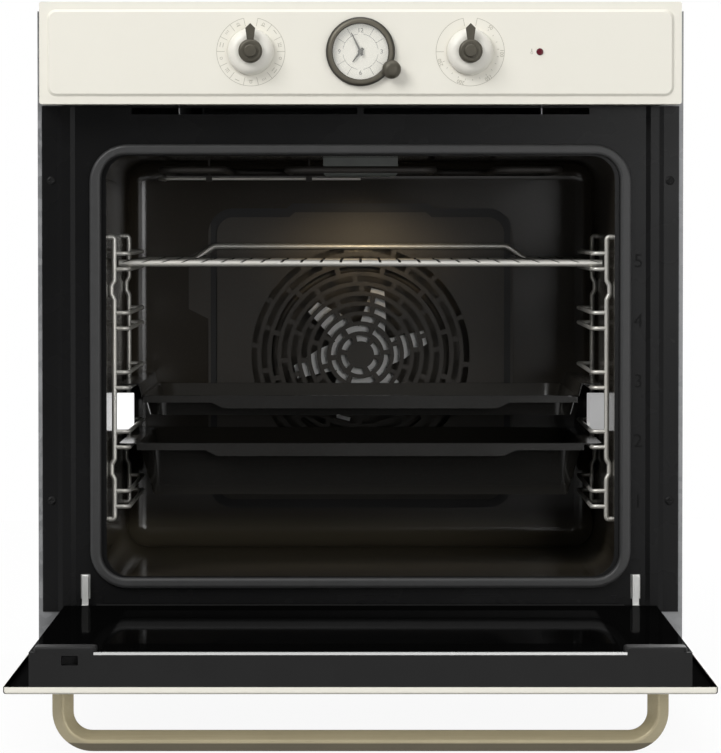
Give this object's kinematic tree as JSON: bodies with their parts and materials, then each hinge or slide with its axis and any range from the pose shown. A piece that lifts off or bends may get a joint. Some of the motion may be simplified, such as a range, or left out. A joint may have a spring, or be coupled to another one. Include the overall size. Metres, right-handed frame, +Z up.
{
  "type": "built-in oven",
  "caption": "Built-in electric oven with drop-down glazed door, U-shaped bar handle, cream control panel with rotary knobs and analogue clock, wire racks, grid shelf and trays.",
  "frame": {"origin": "centre of the base plate's underside, where the oven stands on the niche shelf", "axes": "+Z up, -Y out of the front, +X to the right of someone facing the oven"},
  "size_m": [0.604, 1.0345, 0.6482],
  "materials": {
    "galvanised_sheet": "spangled zinc",
    "black_enamel": "gloss vitreous enamel",
    "cream_enamel": "satin enamel",
    "cream_plastic": "satin",
    "bronze": "darkened, satin",
    "antique_brass": "brushed and darkened",
    "seal_rubber": "matt",
    "mineral_wool": "fibrous",
    "bright_wire": "bright plated",
    "steel": "bright",
    "heater_sheath": "heat darkened",
    "dark_glass": "tinted",
    "clear_glass": "clear",
    "lamp_glass": "frosted",
    "black_plastic": "fine grain",
    "chrome_strip": "polished",
    "dial_white": "printed",
    "red_lens": "translucent",
    "white_plastic": "moulded",
    "ceramic_body": "unglazed"
  },
  "bodies": {
    "oven": {"casing_left": "galvanised_sheet", "casing_right": "galvanised_sheet", "base_pan": "galvanised_sheet", "top_cover": "galvanised_sheet", "rear_cover": "galvanised_sheet", "front_frame": "black_enamel", "cavity": "black_enamel", "insulation": "mineral_wool", "door_gasket": "seal_rubber", "control_panel": "cream_enamel", "control_bracket": "galvanised_sheet", "selector_switch": "white_plastic", "thermostat_switch": "white_plastic", "clock_bezel": "bronze", "clock_dial": "dial_white", "clock_glass": "clear_glass", "clock_movement": "white_plastic", "indicator_lamp": "red_lens", "lamp_lens": "lamp_glass", "lamp_holder": "ceramic_body", "side_lens_left": "lamp_glass", "side_lens_right": "lamp_glass", "fan_guard": "black_enamel", "fan_motor": "steel", "ring_heater": "heater_sheath", "grill_element": "heater_sheath", "bottom_heater": "heater_sheath", "thermostat_bulb": "bright_wire", "cavity_fixings": "steel", "rack_left": "bright_wire", "rack_right": "bright_wire", "blower_housing": "galvanised_sheet", "blower_motor": "steel", "terminal_block": "white_plastic", "hinge_arms": "steel", "hinge_sockets": "steel"},
    "door": {"door_outer_panel": "cream_enamel", "door_outer_glass": "dark_glass", "door_middle_glass": "clear_glass", "door_inner_glass": "dark_glass", "door_bottom_rail": "black_plastic", "door_side_left": "black_plastic", "door_side_right": "black_plastic", "door_top_trim": "black_plastic", "door_handle": "antique_brass", "trim_strip": "chrome_strip", "handle_screws": "steel", "hinge_channels": "steel"},
    "selector": {"selector_knob": "cream_plastic", "selector_pointer": "bronze"},
    "thermostat": {"thermostat_knob": "cream_plastic", "thermostat_pointer": "bronze"},
    "minute": {"minute_hand": "bronze"},
    "hour": {"hour_hand": "bronze"},
    "clock_setter": {"clock_set_knob": "bronze"},
    "fan": {"convection_fan": "steel"},
    "blower": {"blower_wheel": "galvanised_sheet"},
    "shelf": {"wire_shelf": "bright_wire"},
    "tray_shallow": {"shallow_tray": "black_enamel"},
    "tray_deep": {"deep_tray": "black_enamel"}
  },
  "joints": [
    {"name": "door_hinge", "type": "hinge", "parent": "oven", "child": "door", "pos_m": [0, -0.2935, 0.026], "axis": [1, 0, 0], "range_deg": [-90, 0]},
    {"name": "selector_turn", "type": "hinge", "parent": "oven", "child": "selector", "pos_m": [-0.1015, -0.3207, 0.5487], "axis": [0, 1, 0], "continuous": true},
    {"name": "thermostat_turn", "type": "hinge", "parent": "oven", "child": "thermostat", "pos_m": [0.1015, -0.3207, 0.5487], "axis": [0, 1, 0], "range_deg": [0, 270]},
    {"name": "minute_turn", "type": "hinge", "parent": "oven", "child": "minute", "pos_m": [0, -0.3207, 0.5487], "axis": [0, 1, 0], "continuous": true},
    {"name": "hour_turn", "type": "hinge", "parent": "oven", "child": "hour", "pos_m": [0, -0.3207, 0.5487], "axis": [0, 1, 0], "continuous": true},
    {"name": "clock_set_turn", "type": "hinge", "parent": "oven", "child": "clock_setter", "pos_m": [0.0287, -0.3207, 0.5321], "axis": [0, 1, 0], "continuous": true},
    {"name": "fan_spin", "type": "hinge", "parent": "oven", "child": "fan", "pos_m": [0, 0.1295, 0.255], "axis": [0, 1, 0], "continuous": true},
    {"name": "blower_spin", "type": "hinge", "parent": "oven", "child": "blower", "pos_m": [0, -0.0265, 0.517], "axis": [1, 0, 0], "continuous": true},
    {"name": "shelf_slide", "type": "slide", "parent": "oven", "child": "shelf", "axis": [0, -1, 0], "range_m": [0, 0.3]},
    {"name": "shallow_tray_slide", "type": "slide", "parent": "oven", "child": "tray_shallow", "axis": [0, -1, 0], "range_m": [0, 0.3]},
    {"name": "deep_tray_slide", "type": "slide", "parent": "oven", "child": "tray_deep", "axis": [0, -1, 0], "range_m": [0, 0.3]}
  ],
  "couplings": [
    {"joint": "hour_turn", "follows": "minute_turn", "ratio": 0.083333}
  ]
}
